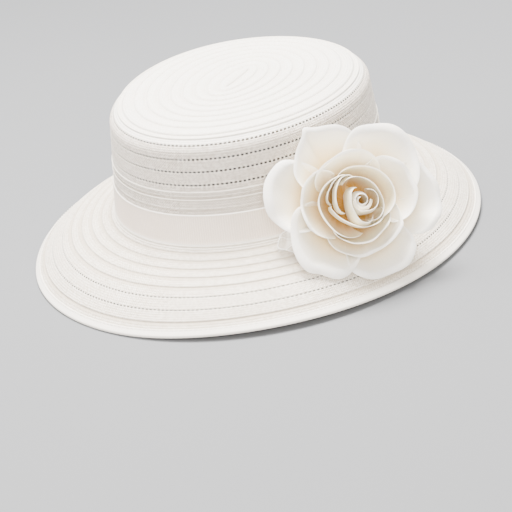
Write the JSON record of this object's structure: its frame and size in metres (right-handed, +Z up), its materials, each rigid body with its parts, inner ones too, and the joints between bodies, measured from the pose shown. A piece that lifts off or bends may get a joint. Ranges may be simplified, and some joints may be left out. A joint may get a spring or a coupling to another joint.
{
  "type": "dress hat",
  "caption": "Oval dress hat of sewn braid with a low flat-topped crown, turned-down brim, ribbon band and a large fabric rose at the wearer's left.",
  "frame": {"origin": "under the middle of the crown, on the plane that the brim's edge rests on", "axes": "+Z up through the crown, -Y the way the wearer faces, +X the wearer's left, where the rose is"},
  "size_m": [0.2924, 0.3212, 0.1087],
  "materials": {
    "braid": "matte sewn straw-cloth braid, ivory",
    "edge_wire": "bright drawn wire",
    "joiner": "clear-white moulded tube",
    "binding": "braid edge fold, satin",
    "ribbon": "ribbed grosgrain ribbon, pinkish ivory",
    "sweatband": "ribbed grosgrain ribbon, ivory",
    "felt": "wool felt",
    "stem_tape": "paper tape wound on wire",
    "organza": "stiffened sheer organza",
    "petal_silk": "stiffened petal silk, soft sheen",
    "calyx_cloth": "stiffened cotton"
  },
  "bodies": {
    "root": {"crown_tip": "braid", "crown_wall": "braid", "brim": "braid", "brim_edge_wire": "edge_wire", "wire_joiner": "joiner", "brim_edge_binding": "binding", "hat_band": "ribbon", "band_join_tab": "ribbon", "sweatband": "sweatband", "rose_backing": "felt", "rose_stem": "stem_tape", "rose_leaf": "organza", "rose_bud": "petal_silk", "rose_calyx": "calyx_cloth", "rose_petal_heart_1": "petal_silk", "rose_petal_heart_2": "petal_silk", "rose_petal_inner_1": "petal_silk", "rose_petal_inner_2": "petal_silk", "rose_petal_inner_3": "petal_silk", "rose_petal_cup_1": "petal_silk", "rose_petal_cup_2": "petal_silk", "rose_petal_cup_3": "petal_silk", "rose_petal_cup_4": "petal_silk", "rose_petal_middle_1": "petal_silk", "rose_petal_middle_2": "petal_silk", "rose_petal_middle_3": "petal_silk", "rose_petal_middle_4": "petal_silk", "rose_petal_outer_1": "petal_silk", "rose_petal_outer_2": "petal_silk", "rose_petal_outer_3": "petal_silk", "rose_petal_outer_4": "petal_silk", "rose_petal_outer_5": "petal_silk", "rose_petal_outer_6": "petal_silk"}
  },
  "joints": []
}
